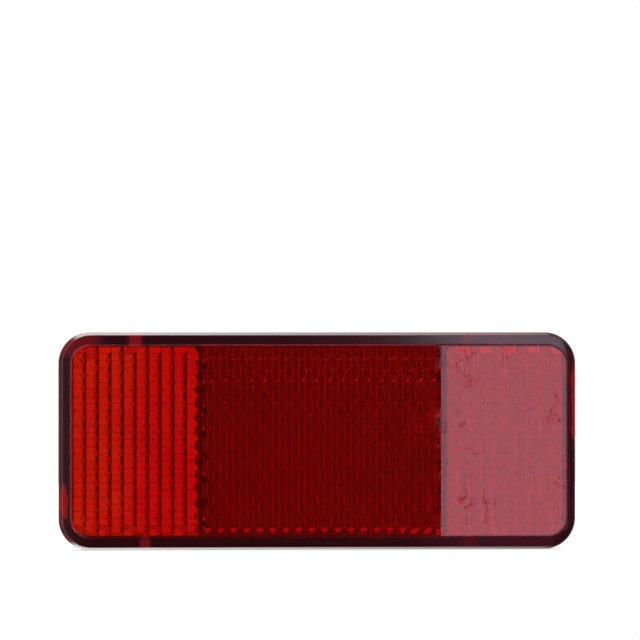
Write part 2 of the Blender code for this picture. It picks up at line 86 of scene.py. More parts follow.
# Prisms on the back of the lens
PLATE = 1.4 * MM  # solid plate in front of them
PRISM_BASE = 0.2 * MM
DIVIDER = 0.5 * MM  # rib between two fields
RIB_LAP = 0.03 * MM
MIDDLE_WIDTH = 46.6 * MM
MIDDLE_SHIFT = 0.7 * MM  # how far right of the body's middle the middle field lies
MIDDLE_CELL = 2.52 * MM  # cube corners, across flats
TIP_INDENT = 1.15 * MM  # first tip from the left side of the middle field
TIP_DROP = 1.15 * MM  # first row of tips from the top of the field
ROOF_SLOPE = math.radians(15)
ROOF = 2.75 * MM  # pitch of the roofs
ROOF_SHIFT = 0.33 * MM  # the roofs' middle above the middle of the body
LEFT_COLUMN = 2.42 * MM
RIGHT_COLUMN = 2.28 * MM
MOULD_ERROR = 0.0008 * MM  # how far prism corners stray from their true place
ERROR_SCALE = 1200  # how quickly that changes from corner to corner
PLATE_BACK_Y = WINDOW_Y + PLATE
VALLEY_Y = WINDOW_Y + PLATE + PRISM_BASE
MIDDLE_LEFT = MIDDLE_SHIFT - MIDDLE_WIDTH / 2
MIDDLE_RIGHT = MIDDLE_SHIFT + MIDDLE_WIDTH / 2
MIDDLE_DEPTH = MIDDLE_CELL * 2 / math.sqrt(6)
ROOF_PEAK = ROOF / 2 / math.cos(ROOF_SLOPE)  # height of a ridge over its valleys
FIELD_SIDE = WIDTH / 2 - RIM_WIDTH
FIELD_TOP = HEIGHT / 2 - RIM_WIDTH - RIM_EXTRA

# How worn the prism edges are, as shares of their largest rounding
EDGE_ROUND = 0.2 * MM
MIDDLE_WEAR = 0.08
MIDDLE_UPRIGHT_WEAR = 0.45
ROOF_WEAR = 0.1
LEFT_VALLEY_WEAR = 0.22
LEFT_UPRIGHT_WEAR = 0.5
RIGHT_UPRIGHT_WEAR = 1.0

# Lengths for joining solids
LAP = 0.5 * MM
TOUCH = LAP / 10
MERGE = LAP / 100
MERGE_CORNERS = 1e-6

# Thread of the bolt and the nut
PITCH = 0.8 * MM
FLANK_MEET = 1.35  # where the flanks would meet, if the crest weren't cut off at 1
FLANK_FALL = 3.4  # how fast they fall from there to 0 at the root, for each pitch along the axis

# Bolt
THREAD_CREST = 2.4 * MM
THREAD_DEPTH = 0.36 * MM
HEAD_HEIGHT = 3.5 * MM
HEAD_FACE = 3.9 * MM  # radius where the head's chamfer starts
NECK = 0.15 * MM  # fillet under the head
PLAIN_LENGTH = 1.2 * MM  # shank without thread
PLAIN_GAP = 0.05 * MM  # from there to the thread's first ring
END_GAP = 0.02 * MM  # from its last ring to the bolt's end
END_CHAMFER = 0.8 * MM
END_SLOPE = 0.9  # fall of the radius along the chamfer

# Nut. Its flats are those of the bolt's head too.
FLATS = 8.0 * MM
HEX_BLUNT = 0.09 * MM  # how much the corners are cut back
HEX_CHAMFER = math.tan(math.radians(30))
NUT_FACE = FLATS / 2 - 0.4 * MM  # radius where its chamfers start
BORE_CREST = 2.55 * MM  # radius
BORE_DEPTH = 0.3 * MM
COUNTERSINK = 3.05 * MM  # radius at the face
COUNTERSINK_SLOPE = 1.2

# Smoothness
CORNER_STEPS = 20
FILLET_STEPS = 6
BEVEL_STEPS = 2
AROUND = 72
THREAD_STEPS = 12

# Angles in degrees over which edges stay sharp
HOUSING_SHARP = 24
LENS_SHARP = 18
BOLT_SHARP = 35
NUT_SHARP = 22

# Camera, as it stood for the photo
IMAGE_SIZE = 640
PIXELS_PER_METRE = 5206
CAMERA_DISTANCE = 1.5
CAMERA_AZIMUTH = math.radians(-5.6)
BODY_PIXEL = (319.7, 441.2)
SENSOR = 36
CLIP_END = 100

# Colours
WHITE = (1, 1, 1, 1)
DEEP_RED = (0.60, 0.0008, 0.002, 1)
RED = (0.62, 0.004, 0.002, 1)
WARM_RED = (0.64, 0.013, 0.002, 1)
BORDER_RED = (0.28, 0.05, 0.09, 1)
# Paler red of the haze, and of the painted highlights and painted light patches
HAZE_AND_PAINTED_LIGHT_RED = (0.78, 0.002, 0.008, 1)
BLACK = (0.014, 0.0145, 0.021, 1)
FLOW_BLACK = (0.036, 0.034, 0.050, 1)
CROSS_BLACK = (0.006, 0.008, 0.012, 1)
RUBBED_BLACK = (0.07, 0.072, 0.085, 1)
YELLOW_ZINC = (0.80, 0.72, 0.46, 1)
YELLOW_ZINC_SHADE = (0.66, 0.44, 0.20, 1)
YELLOW_ZINC_END = (0.74, 0.86, 0.62, 1)
WHITE_ZINC = (0.88, 0.89, 0.91, 1)
WHITE_ZINC_SHADE = (0.80, 0.81, 0.83, 1)
TABLE_WHITE = (0.8, 0.8, 0.8, 1)
CEILING_WHITE = (1.1, 1.1, 1.1, 1)

# Red acrylic
ACRYLIC_IOR = 1.49
CLEAR = 0.92  # share of light let through where it is clear
HAZE_AND_PAINTED_LIGHT_CLEAR = 0.45  # the same at the haze, and at the painted highlights and painted light patches
BORDER_ROUGH = 0.085
WARM_RANGE = (-32 * MM, -36 * MM)  # where the tint turns warmer, along X
HAZE_RANGE = (-6 * MM, 18 * MM)  # where faint haze comes in
SCRATCH_RANGE = (22 * MM, 26 * MM)  # where the window's scratches come in
FINE_BUMP = 0.01 * MM

# Painted highlights along the right field's column seams: pale lines where the worn edges are made
# cloudier and painted a paler red
LINE_SHIFT = 0.13 * MM  # how far left of the seams they appear
LINE_WANDER = 0.08 * MM
LINE_CORE = 0.12 * MM  # half width of the full line
LINE_REACH = 0.46 * MM  # half width at which it has faded
LINE_REST = 0.1  # what is left of it between the seams
LINE_WEAKEST = 0.65
LINE_MARGIN = 3.5 * MM  # how far from the outline the lines stop

# Painted light: red patches where light shines through the weld, painted as a cloudier, paler red. x and
# height from the middle, half width, half height in mm, and strength
PAINTED_WELD_LIGHT = [
    (-35.5, 19.4, 1.3, 2.2, 0.7), (-33.6, -19.6, 1.2, 1.8, 0.6), (-49.2, -11.7, 0.8, 3.4, 0.9),
    (-46.5, 18.8, 4.6, 2.4, 0.45), (49.4, 7.5, 0.7, 8.5, 0.9), (29.0, 19.6, 1.4, 0.9, 0.4),
    (21.6, 4.8, 0.7, 1.4, 0.4), (21.2, -11.5, 0.8, 2.0, 0.3), (24.2, 0.0, 0.9, 21.0, 0.25),
]
PATCH_CORE = 0.75  # share of a patch's size up to which it has its full strength
PATCH_REACH = 1.15  # the share at which it has faded

# Black plastic
CROSS_Y = -0.1 * MM  # the cross is what lies behind this
RIM_RUB = 3.2 * MM  # how far in from the outline the back's rim is rubbed
RUB_FADE = 0.4 * MM
RUB_MITRE = 1 * MM  # half width of the change between upright and level streaks
ALONG_X = (0.12, 1.0, 2.2)  # stretches noise to streaks
ALONG_Z = (2.2, 1.0, 0.12)

# Zinc plate
YELLOW_ROUGH = 0.24
WHITE_ROUGH = 0.16
ROUGH_SPREAD = 0.3  # how much the roughness varies, as a share of itself
END_FILM = 0.03 * MM  # how deep the colour of the bolt's end reaches
PLATE_BUMP = 0.02 * MM

# Table top
FLOOR_SIDE = 0.6
FLOOR_FRONT = -0.07
FLOOR_BACK = 0.6
FLOOR_GLOW = 0.6
FLOOR_ROUGH = 0.8
FLOOR_GLOSS = 0.1

# Brightness of the room by azimuth in degrees, seen from the lens, from -Y round to +X
ROOM = [
    (-180, 1.3), (-176, 1.2), (-171, 0.06), (-160, 0.06), (-154, 0.4), (-110, 0.9), (-70, 0.6),
    (-45, 0.78), (-31, 0.78), (-16, 0.18), (-4, 0.16), (1, 0.03), (30, 0.03), (60, 0.3), (100, 0.4),
    (130, 0.12), (160, 0.04), (171, 0.06), (176, 1.2), (180, 1.3),
]
# Share of the white ceiling in it, by the upward part of the direction
CEILING = [(0.35, 0.0), (0.8, 1.0), (0.9, 1.0), (0.97, 0.3)]

# Upright lights in front: azimuth from and to as above, how far they reach below the object, height of
# their top, brightness and colour. The key light's left edge is what ends the glare at the right third
# of the window.
SOFTBOXES = [
    ("key_light", 7.6, 16, 0.1, 0.5, 2.6, (0.8, 0.8, 1.0)),
    ("near_side_light", 25, 46, 0.4, 0.4, 0.9, (1.0, 1.0, 1.0)),
    ("far_side_light", 48, 60, 0.4, 0.4, 0.88, (1.0, 1.0, 1.0)),
]
SOFTBOX_DISTANCE = 1.2

# Light on the back
BACK_RADIANCE = 3.0
BACK_DISTANCE = 0.9
BACK_ELEVATION = math.radians(40)
BACK_SIZE = (0.9, 0.4)


def rounded(width, height, corner, z):
    """Points round a rectangle with its corners as arcs, as (x, z)."""
    points = []
    for quarter in range(4):
        side_x = 1 if quarter in (0, 3) else -1
        side_z = 1 if quarter in (0, 1) else -1
        for step in range(CORNER_STEPS + 1):
            angle = math.radians(90) * (quarter + step / CORNER_STEPS)
            across = side_x * (width / 2 - corner) + corner * math.cos(angle)
            points.append((across, z + side_z * (height / 2 - corner) + corner * math.sin(angle)))
    return points


def body_ring(inset, y, extra=0.0):
    """The lens outline moved in by inset, and by extra more at its long sides."""
    corner = CORNER - inset - extra / 2
    outline = rounded(WIDTH - 2 * inset, HEIGHT - 2 * (inset + extra), corner, BODY_Z)
    return [(px, y, pz) for px, pz in outline]


def add_loft(mesh, rings, closed=False):
    """Bands of faces through rings of equally many points. Open ends are filled."""
    loops = [[mesh.verts.new(point) for point in ring] for ring in rings]
    pairs = list(zip(loops, loops[1:]))
    if closed:
        pairs.append((loops[-1], loops[0]))
    for near, far in pairs:
        for here in range(len(near)):
            after = (here + 1) % len(near)
            mesh.faces.new((near[here], near[after], far[after], far[here]))
    if not closed:
        mesh.faces.new(loops[0])
        mesh.faces.new(loops[-1])


def shade_smooth(data, sharp_angle):
    """Shades a mesh smooth, with edges over the angle kept sharp."""
    data.shade_smooth()
    data.set_sharp_from_angle(angle=math.radians(sharp_angle))


def new_object(name, mesh, sharp_angle=None):
    """A new object from a bmesh, with its faces pointing out."""
    bmesh.ops.recalc_face_normals(mesh, faces=mesh.faces)
    data = bpy.data.meshes.new(name)
    mesh.to_mesh(data)
    mesh.free()
    if sharp_angle is not None:
        shade_smooth(data, sharp_angle)
    thing = bpy.data.objects.new(name, data)
    bpy.context.scene.collection.objects.link(thing)
    return thing


def new_box(name, low, high):
    mesh = bmesh.new()
    bmesh.ops.create_cube(mesh, size=1.0)
    bmesh.ops.scale(mesh, verts=mesh.verts, vec=Vector(high) - Vector(low))
    bmesh.ops.translate(mesh, verts=mesh.verts, vec=(Vector(high) + Vector(low)) / 2)
    return new_object(name, mesh)


def apply_modifiers(thing):
    graph = bpy.context.evaluated_depsgraph_get()
    data = bpy.data.meshes.new_from_object(thing.evaluated_get(graph))
    thing.modifiers.clear()
    thing.data = data


def combine(thing, other, operation):
    """Joins or cuts a piece with another, which is used up."""
    modifier = thing.modifiers.new("combine", "BOOLEAN")
    modifier.operation = operation
    modifier.object = other
    modifier.solver = "EXACT"
    apply_modifiers(thing)
    bpy.data.objects.remove(other)


def cube_surface():
    """Rows of hexagonal cube corners over the middle field, as an open surface."""
    mesh = bmesh.new()
    row_pitch = MIDDLE_CELL * math.sqrt(3) / 2
    spoke = MIDDLE_CELL / math.sqrt(3)
    first_x = MIDDLE_LEFT + TIP_INDENT
    first_z = LENS_HIGH.z - RIM_WIDTH - RIM_EXTRA - TIP_DROP
    columns = math.ceil(MIDDLE_WIDTH / MIDDLE_CELL) + 1
    rows = math.ceil(HEIGHT / row_pitch)
    for row in range(-1, rows):
        for column in range(-1, columns):
            middle_x = first_x + MIDDLE_CELL * (column + row % 2 / 2)
            middle_z = first_z - row_pitch * row
            tip = mesh.verts.new((middle_x, VALLEY_Y + MIDDLE_DEPTH, middle_z))
            corners = []
            for corner in range(6):
                angle = math.radians(30 + 60 * corner)
                point_x = middle_x + spoke * math.cos(angle)
                point_y = VALLEY_Y + MIDDLE_DEPTH / 2 * ((corner + 1) % 2)
                corners.append(mesh.verts.new((point_x, point_y, middle_z + spoke * math.sin(angle))))
            for half_high in (0, 2, 4):
                valley = corners[half_high + 1]
                mesh.faces.new((tip, corners[half_high], valley, corners[(half_high + 2) % 6]))
    return mesh


def roof_surface(inner_x, outer_x, column):
    """Columns of canted roofs over a side field, from its inner edge outwards, as an open surface."""
    mesh = bmesh.new()
    outwards = math.copysign(1, outer_x - inner_x)
    columns = math.ceil(abs(outer_x - inner_x) / column)
    count = math.ceil(HEIGHT / 2 / ROOF)
    rise = column * math.tan(ROOF_SLOPE)
    # Where the roofs of two neighbouring columns cross each other on the step between them
    meet = ROOF / 4 * (1 + rise / ROOF_PEAK)
    meet_y = ROOF_PEAK * meet * 2 / ROOF

    def ridges(number):
        return [BODY_Z + ROOF_SHIFT + ROOF * (step + number % 2 / 2) for step in range(-count, count + 1)]

    def add_face(points):
        mesh.faces.new([mesh.verts.new((px, VALLEY_Y + y, pz)) for px, y, pz in points])

    def add_kites(x, own, neighbours, reach, top, bottom):
        for ridge in own:
            if min(neighbours) - ROOF < ridge < max(neighbours) + ROOF:
                left = (x, meet_y, ridge - reach)
                right = (x, meet_y, ridge + reach)
                add_face([left, (x, top, ridge), right, (x, bottom, ridge)])

    for number in range(columns):
        high_x = inner_x + outwards * column * number
        low_x = high_x + outwards * column
        for ridge in ridges(number):
            for side in (-1, 1):
                valley = ridge + side * ROOF / 2
                high = [
                    (high_x, rise + ROOF_PEAK, ridge),
                    (high_x, meet_y, ridge + side * meet),
                    (high_x, rise, valley),
                ]
                low = [
                    (low_x, 0.0, valley),
                    (low_x, meet_y, valley - side * meet),
                    (low_x, ROOF_PEAK, ridge),
                ]
                add_face(high + low)
        if number:
            own, other = ridges(number), ridges(number - 1)
            add_kites(high_x, own, other, meet, rise + ROOF_PEAK, 0.0)
            add_kites(high_x, other, own, ROOF / 2 - meet, ROOF_PEAK, rise)
    return mesh


def prism_block(name, mesh):
    """Closes a prism surface to a block with a flat front."""
    bmesh.ops.remove_doubles(mesh, verts=mesh.verts, dist=MERGE)
    border = [edge for edge in mesh.edges if edge.is_boundary]
    grown = bmesh.ops.extrude_edge_only(mesh, edges=border)["geom"]
    for vertex in (part for part in grown if isinstance(part, bmesh.types.BMVert)):
        vertex.co.y = PLATE_BACK_Y - LAP
    bmesh.ops.edgeloop_fill(mesh, edges=[edge for edge in mesh.edges if edge.is_boundary])
    return new_object(name, mesh)


def free_prism_points(mesh):
    """The points of the prisms that don't touch the side walls of their field."""

    def in_prisms(point):
        inside = abs(point.x) < FIELD_SIDE + TOUCH and abs(point.z - BODY_Z) < FIELD_TOP + TOUCH
        return inside and point.y > PLATE_BACK_Y + PRISM_BASE / 2

    free = {vertex for vertex in mesh.verts if in_prisms(vertex.co)}
    for face in mesh.faces:
        if not all(in_prisms(vertex.co) for vertex in face.verts):
            free.difference_update(face.verts)
    return free


def edge_wear(edge):
    """How much a prism edge is rounded, by its field and its direction."""
    run = edge.verts[1].co - edge.verts[0].co
    middle = (edge.verts[1].co + edge.verts[0].co) / 2
    upright = abs(run.x) < MERGE
    if MIDDLE_LEFT < middle.x < MIDDLE_RIGHT:
        return MIDDLE_UPRIGHT_WEAR if upright else MIDDLE_WEAR
    if middle.x > 0:
        return RIGHT_UPRIGHT_WEAR if upright else ROOF_WEAR
    if upright:
        return LEFT_UPRIGHT_WEAR
    roof_middle = VALLEY_Y + (LEFT_COLUMN * math.tan(ROOF_SLOPE) + ROOF_PEAK) / 2
    return LEFT_VALLEY_WEAR if middle.y < roof_middle else ROOF_WEAR


def finish_prisms(lens):
    """Rounds the prism edges and lets the prism corners stray a little, as a mould does."""
    mesh = bmesh.new()
    mesh.from_mesh(lens.data)
    weight = mesh.edges.layers.float.new("bevel_weight_edge")
    free = free_prism_points(mesh)
    for edge in mesh.edges:
        if free.issuperset(edge.verts):
            edge[weight] = edge_wear(edge)
    mesh.to_mesh(lens.data)
    mesh.free()
    bevel = lens.modifiers.new("edges", "BEVEL")
    bevel.limit_method = "WEIGHT"
    bevel.width = EDGE_ROUND
    bevel.segments = BEVEL_STEPS
    bevel.use_clamp_overlap = False
    apply_modifiers(lens)
    mesh = bmesh.new()
    mesh.from_mesh(lens.data)
    for vertex in free_prism_points(mesh):
        vertex.co += noise.noise_vector(vertex.co * ERROR_SCALE) * MOULD_ERROR
    mesh.to_mesh(lens.data)
    mesh.free()


def lens_moulding():
    """The lens without its prisms: rim, border and raised window."""
    rings = [
        body_ring(RIM_WIDTH, PLATE_BACK_Y, RIM_EXTRA),
        body_ring(RIM_WIDTH, RIM_BACK_Y, RIM_EXTRA),
        body_ring(0.0, RIM_BACK_Y),
    ]
    for step in range(FILLET_STEPS + 1):
        angle = math.radians(90) * step / FILLET_STEPS
        inset = LENS_DRAFT + LENS_EDGE * (1 - math.cos(angle))
        rings.append(body_ring(inset, BAND_Y + BAND_TILT + LENS_EDGE * (1 - math.sin(angle))))
    rings.append(body_ring(BAND_WIDTH, BAND_Y, BAND_EXTRA))
    slope = math.atan2(BAND_STEP, BAND_SLOPE)
    for step in range(FILLET_STEPS + 1):
        angle = slope * (1 - step / FILLET_STEPS)
        inset = BAND_WIDTH + BAND_SLOPE + WINDOW_EDGE * (math.tan(slope / 2) - math.sin(angle))
        rings.append(body_ring(inset, WINDOW_Y + WINDOW_EDGE * (1 - math.cos(angle)), BAND_EXTRA))
    rings.append(body_ring(inset + WINDOW_STRIP, WINDOW_Y, BAND_EXTRA))
    shell = bmesh.new()
    add_loft(shell, rings)
    return new_object("lens_moulding", shell)


def make_lens():
    """The same moulding as the frame's lens, with rounded window and prism edges."""
    lens = lens_moulding()
    blocks = [
        prism_block("left_prisms", roof_surface(MIDDLE_LEFT - DIVIDER, -WIDTH / 2, LEFT_COLUMN)),
        prism_block("middle_prisms", cube_surface()),
        prism_block("right_prisms", roof_surface(MIDDLE_RIGHT + DIVIDER, WIDTH / 2, RIGHT_COLUMN)),
    ]
    limits = new_box(
        "middle_limits",
        (MIDDLE_LEFT, PLATE_BACK_Y - LENS_DEPTH, LENS_LOW.z),
        (MIDDLE_RIGHT, PLATE_BACK_Y + LENS_DEPTH, LENS_HIGH.z),
    )
    combine(blocks[1], limits, "INTERSECT")
    ribs = []
    for name, x_from in (("left_rib", MIDDLE_LEFT - DIVIDER), ("right_rib", MIDDLE_RIGHT)):
        low = (x_from - RIB_LAP, PLATE_BACK_Y - LAP, LENS_LOW.z + RIM_WIDTH / 2)
        high = (x_from + DIVIDER + RIB_LAP, VALLEY_Y + MIDDLE_DEPTH, LENS_HIGH.z - RIM_WIDTH / 2)
        ribs.append(new_box(name, low, high))
    for block in blocks:
        window = bmesh.new()
        front = body_ring(RIM_WIDTH - LAP, PLATE_BACK_Y - 2 * LAP, RIM_EXTRA)
        back = body_ring(RIM_WIDTH - LAP, PLATE_BACK_Y + LENS_DEPTH, RIM_EXTRA)
        add_loft(window, [front, back])
        combine(block, new_object("prism_window", window), "INTERSECT")
        combine(lens, block, "UNION")
    for rib in ribs:
        combine(lens, rib, "UNION")
    finish_prisms(lens)
    shade_smooth(lens.data, LENS_SHARP)
    return lens


def hexagon_radius(angle):
    """Distance from the axis to the outline of a hexagon with slightly blunt corners."""
    from_flat = (angle + math.radians(30)) % math.radians(60) - math.radians(30)
    return min(FLATS / 2 / math.cos(from_flat), FLATS / math.sqrt(3) - HEX_BLUNT)


def circle(radius, y, turn=0.0):
    """Points round the bolt's axis. The radius may be a function of the angle, and y one of the radius."""
    points = []
    for step in range(AROUND):
        angle = 2 * math.pi * step / AROUND
        here = radius(angle + turn) if callable(radius) else radius
        height = y(here) if callable(y) else y
        points.append((here * math.cos(angle), height, here * math.sin(angle)))
    return points


def thread_rings(y_from, y_to, radius_at):
    """Rings whose radius follows a helical thread between two places on the axis."""
    count = round((y_to - y_from) / PITCH * THREAD_STEPS)
    rings = []
    for step in range(count + 1):
        y = y_from + (y_to - y_from) * step / count
        ring = []
        for around in range(AROUND):
            angle = 2 * math.pi * around / AROUND
            phase = (y / PITCH + angle / (2 * math.pi)) % 1.0
            flank = min(1.0, max(0.0, FLANK_MEET - abs(phase - 0.5) * FLANK_FALL))
            radius = radius_at(y, flank)
            ring.append((radius * math.cos(angle), y, radius * math.sin(angle)))
        rings.append(ring)
    return rings


def make_bolt():
    """The frame's bolt with its thread and a chamfered hexagonal head."""
    seat_y = BOLT_LOW.y + HEAD_HEIGHT
    end_y = BOLT_HIGH.y
    plain_to = seat_y + PLAIN_LENGTH
    corner_on_x = math.radians(30)

    def radius_at(y, flank):
        thread = THREAD_CREST - THREAD_DEPTH * (1 - flank)
        return min(thread, THREAD_CREST - max(0.0, y - (end_y - END_CHAMFER)) * END_SLOPE)

    def chamfered(radius):
        return BOLT_LOW.y + max(0.0, radius - HEAD_FACE) * HEX_CHAMFER

    rings = [
        circle(HEAD_FACE, BOLT_LOW.y),
        circle(hexagon_radius, chamfered, corner_on_x),
        circle(hexagon_radius, seat_y, corner_on_x),
        circle(THREAD_CREST + NECK, seat_y),
        circle(THREAD_CREST, seat_y + NECK),
        circle(THREAD_CREST, plain_to),
    ]
    rings += thread_rings(plain_to + PLAIN_GAP, end_y - END_GAP, radius_at)
    rings.append(circle(THREAD_CREST - END_CHAMFER, end_y))
    mesh = bmesh.new()
    add_loft(mesh, rings)
    return new_object("bolt_threaded", mesh, BOLT_SHARP)


def make_nut():
    """The frame's nut with both ends chamfered, a countersunk bore and a thread in it."""
    middle = (NUT_LOW.y + NUT_HIGH.y) / 2
    half = (NUT_HIGH.y - NUT_LOW.y) / 2

    def upper(radius):
        return middle + half - max(0.0, radius - NUT_FACE) * HEX_CHAMFER

    def lower(radius):
        return 2 * middle - upper(radius)

    def radius_at(y, flank):
        opened = COUNTERSINK - (half - abs(y - middle)) * COUNTERSINK_SLOPE
        return max(BORE_CREST + BORE_DEPTH * (1 - flank), opened)

    rings = thread_rings(NUT_LOW.y, NUT_HIGH.y, radius_at)
    rings += [
        circle(NUT_FACE, NUT_HIGH.y),
        circle(hexagon_radius, upper),
        circle(hexagon_radius, lower),
        circle(NUT_FACE, NUT_LOW.y),
    ]
    mesh = bmesh.new()
    add_loft(mesh, rings, closed=True)
    return new_object("nut_threaded", mesh, NUT_SHARP)


def add(tree, kind, values=None, **settings):
    """A node with its settings, and its inputs given as values or as sockets to link."""
    made = tree.nodes.new(kind)
    for name, value in settings.items():
        setattr(made, name, value)
    for name, value in (values or {}).items():
        if isinstance(value, bpy.types.NodeSocket):
            tree.links.new(value, made.inputs[name])
        else:
            made.inputs[name].default_value = value
    return made


def new_material(name):
    """A material, its node tree and its shader."""
    made = bpy.data.materials.new(name)
    made.use_nodes = True
    tree = made.node_tree
    return made, tree, tree.nodes["Principled BSDF"]


def object_point(tree):
    """The point in the object's own frame, whole and as its X, Y and Z."""
    point = add(tree, "ShaderNodeTexCoord").outputs["Object"]
    return point, add(tree, "ShaderNodeSeparateXYZ", {0: point}).outputs


def stretched(tree, point, scale):
    return add(tree, "ShaderNodeVectorMath", {0: point, 1: scale}, operation="MULTIPLY").outputs[0]


def noise_value(tree, point, scale, detail=3.0, roughness=0.5):
    return add(
        tree, "ShaderNodeTexNoise",
        {"Vector": point, "Scale": scale, "Detail": detail, "Roughness": roughness},
    ).outputs["Fac"]


def mapped(tree, value, low, high, to_low=0.0, to_high=1.0):
    """A value whose range from low to high is spread over another range."""
    return add(
        tree, "ShaderNodeMapRange",
        {"Value": value, "From Min": low, "From Max": high, "To Min": to_low, "To Max": to_high},
    ).outputs["Result"]


def patchy(tree, point, scale, detail, low, high, to_low=0.0, to_high=1.0):
    """Noise, mapped in the same way."""
    return mapped(tree, noise_value(tree, point, scale, detail), low, high, to_low, to_high)


def mixed(tree, share, one, two):
    """A mix of two colours."""
    return add(tree, "ShaderNodeMix", {0: share, 6: one, 7: two}, data_type="RGBA").outputs[2]


def ramp(tree, value, stops, low, high):
    """A grey level that runs from stop to stop, each stop given as a place between low and high."""
    made = add(tree, "ShaderNodeValToRGB", {"Fac": value})
    elements = made.color_ramp.elements
    while len(elements) < len(stops):
        elements.new(0.5)
    for element, (stop, level) in zip(elements, stops):
        element.position = (stop - low) / (high - low)
        element.color = (level, level, level, 1)
    return made.outputs["Color"]


def math_node(tree, operation, *values):
    """An operation on one or two values."""
    return add(tree, "ShaderNodeMath", dict(enumerate(values)), operation=operation).outputs[0]


def chain(tree, operation, one, *others):
    """The product, the greatest or the like of any number of values."""
    for other in others:
        one = math_node(tree, operation, one, other)
    return one


def between(tree, value, low, high):
    """1 where a value lies between two limits, 0 elsewhere."""
    over = math_node(tree, "GREATER_THAN", value, low)
    return chain(tree, "MULTIPLY", over, math_node(tree, "LESS_THAN", value, high))


def apart(tree, value, middle):
    """How far a value lies from another, on either side."""
    return math_node(tree, "ABSOLUTE", math_node(tree, "SUBTRACT", value, middle))


def bumped(tree, shader, height, distance):
    bump = add(tree, "ShaderNodeBump", {"Height": height, "Strength": 1.0, "Distance": distance})
    tree.links.new(bump.outputs[0], shader.inputs["Normal"])


def patch_mask(tree, position, wobble, patch):
    """The strength of a patch inside its uneven oval, seen from the front, and 0 outside."""
    centre_x, height, half_width, half_height, strength = patch
    across = math_node(tree, "SUBTRACT", position["X"], centre_x * MM)
    across = math_node(tree, "DIVIDE", across, half_width * MM)
    up = math_node(tree, "SUBTRACT", position["Z"], BODY_Z + height * MM)
    up = math_node(tree, "DIVIDE", up, half_height * MM)
    squares = [math_node(tree, "POWER", side, 2.0) for side in (across, up)]
    distance = math_node(tree, "SQRT", math_node(tree, "ADD", *squares))
    distance = math_node(tree, "ADD", distance, wobble)
    return mapped(tree, distance, PATCH_CORE, PATCH_REACH, strength, 0.0)


def painted_column_highlights(tree, point, position):
    """Pale red lines painted as highlights at the seams between the right field's columns, on worn edges
    made cloudier.
    """
    inner_x = MIDDLE_RIGHT + DIVIDER
    along = math_node(tree, "SUBTRACT", position["X"], inner_x - LINE_SHIFT)
    beside = math_node(tree, "PINGPONG", along, RIGHT_COLUMN / 2)
    uneven = noise_value(tree, stretched(tree, point, (1.0, 1.0, 0.4)), scale=600)
    wander = mapped(tree, uneven, 0.3, 0.7, -LINE_WANDER, LINE_WANDER)
    beside = math_node(tree, "ADD", beside, wander)
    lines = mapped(tree, beside, LINE_CORE, LINE_REACH, 1.0, LINE_REST)
    strength = mapped(tree, uneven, 0.35, 0.65, 1.0, LINE_WEAKEST)
    level = math_node(tree, "LESS_THAN", apart(tree, position["Z"], BODY_Z), FIELD_TOP)
    in_field = between(tree, position["X"], inner_x, WIDTH / 2 - LINE_MARGIN)
    return chain(tree, "MULTIPLY", lines, strength, level, in_field)


def window_scratches(tree, point, position):
    """Fine broken scratches on the right part of the window."""
    line = apart(tree, noise_value(tree, point, scale=150, detail=4), 0.5)
    line = mapped(tree, line, 0.0, 0.006, 1.0, 0.0)
    broken = patchy(tree, point, scale=90, detail=1, low=0.52, high=0.6)
    on_right = mapped(tree, position["X"], *SCRATCH_RANGE)
    window = math_node(tree, "LESS_THAN", position["Y"], WINDOW_Y + WINDOW_EDGE)
    return chain(tree, "MULTIPLY", line, broken, on_right, window)


def red_lens_material():
    """Clear red acrylic with an uneven tint, a duller border, haze, painted highlights along the right
    field's column seams, painted light where the weld lets light through, and scratches.
    """
    made, tree, shader = new_material("clear_red_acrylic")
    point, position = object_point(tree)
    shader.inputs["IOR"].default_value = ACRYLIC_IOR
    tint = patchy(tree, point, scale=130, detail=2, low=0.35, high=0.65)
    deep = mixed(tree, tint, DEEP_RED, RED)
    warm = mixed(tree, tint, RED, WARM_RED)
    colour = mixed(tree, mapped(tree, position["X"], *WARM_RANGE), deep, warm)
    border = between(tree, position["Y"], BAND_Y - LENS_EDGE, BAND_Y + LENS_EDGE)
    colour = mixed(tree, border, colour, BORDER_RED)
    haze = patchy(tree, point, scale=190, detail=3, low=0.52, high=0.68, to_high=0.22)
    haze = math_node(tree, "MULTIPLY", haze, mapped(tree, position["X"], *HAZE_RANGE))
    wobble = patchy(tree, point, scale=500, detail=3, low=0.3, high=0.7, to_low=-0.3, to_high=0.3)
    # Patches of painted light where the weld lets light through
    patches = [patch_mask(tree, position, wobble, patch) for patch in PAINTED_WELD_LIGHT]
    # Haze, and painted light: the column highlights and weld patches turn the acrylic cloudier and a paler
    # red
    haze_and_painted_light = chain(tree, "MAXIMUM", haze, painted_column_highlights(tree, point, position), *patches)
    tree.links.new(mixed(tree, haze_and_painted_light, colour, HAZE_AND_PAINTED_LIGHT_RED), shader.inputs["Base Color"])
    tree.links.new(mapped(tree, haze_and_painted_light, 0.0, 1.0, CLEAR, HAZE_AND_PAINTED_LIGHT_CLEAR), shader.inputs["Transmission Weight"])
    smear = patchy(tree, point, scale=260, detail=4, low=0.45, high=0.8, to_high=0.03)
    rough = math_node(tree, "MAXIMUM", smear, math_node(tree, "MULTIPLY", border, BORDER_ROUGH))
    tree.links.new(rough, shader.inputs["Roughness"])
    bumped(tree, shader, window_scratches(tree, point, position), FINE_BUMP)
    return made


